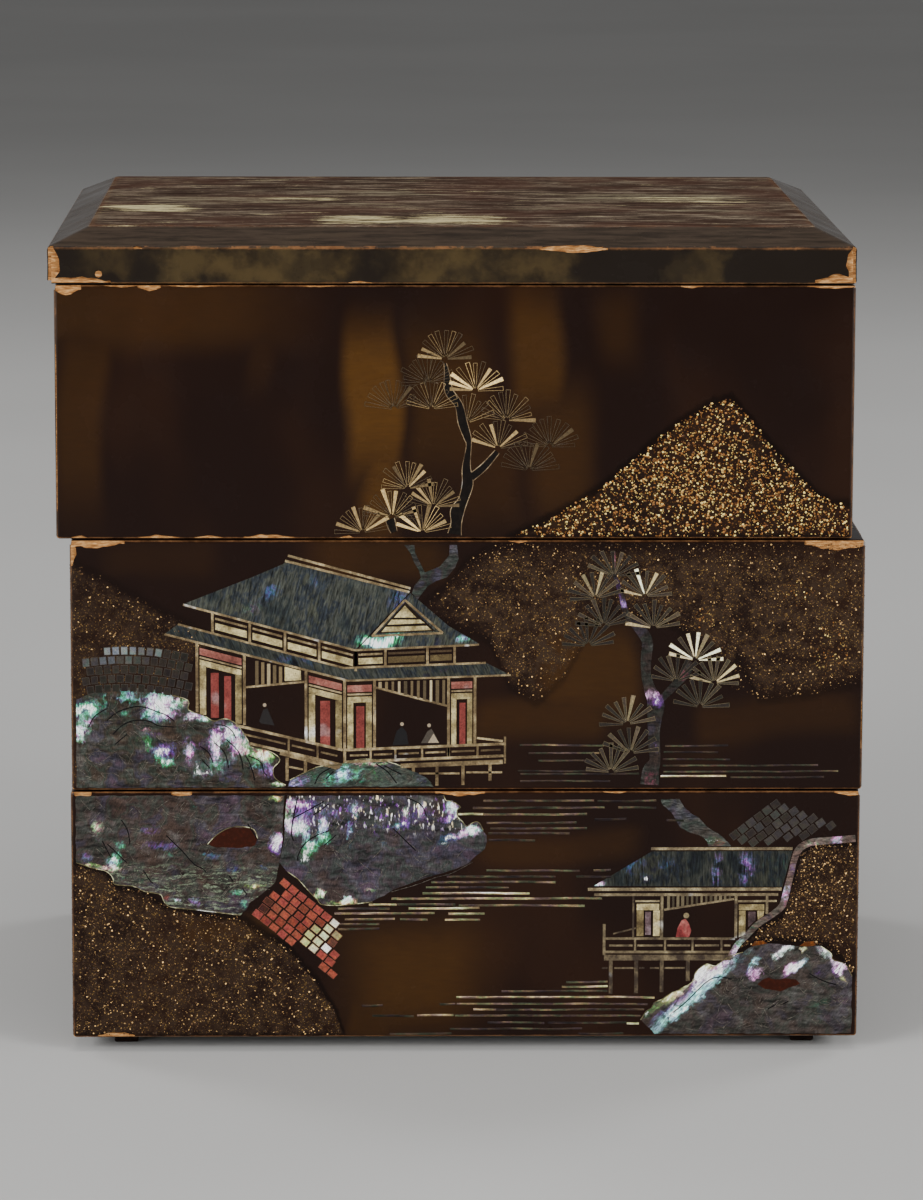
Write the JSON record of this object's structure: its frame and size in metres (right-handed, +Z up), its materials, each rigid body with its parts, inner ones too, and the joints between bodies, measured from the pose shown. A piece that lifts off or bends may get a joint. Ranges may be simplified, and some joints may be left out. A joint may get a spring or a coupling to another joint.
{
  "type": "lacquer food box",
  "caption": "Stacking lacquer food box of open tiers under a lift-off bevelled lid, worn at the edges, with a shell-inlaid landscape.",
  "frame": {"origin": "middle of the box's outline at the level of the surface that its feet stand on", "axes": "+Z up through the stacked tiers, +X to the right as one faces the decorated front, +Y towards the back"},
  "size_m": [0.2336, 0.188, 0.2398],
  "materials": {
    "lacquered_wood": "glossy black-brown lacquer with amber patches, worn to bare wood at edges and chips",
    "shell_inlay": "thin sea shell with pink, green and violet play of colour",
    "gold_dust": "sprinkled gold flakes under and on the lacquer",
    "dull_lacquer": "dull dark lacquer"
  },
  "bodies": {
    "root": {"lid": "lacquered_wood", "tier_upper": "lacquered_wood", "tier_middle": "lacquered_wood", "tier_lower": "lacquered_wood", "foot_front_left": "dull_lacquer", "foot_front_right": "dull_lacquer", "foot_back_left": "dull_lacquer", "foot_back_right": "dull_lacquer"}
  },
  "joints": []
}
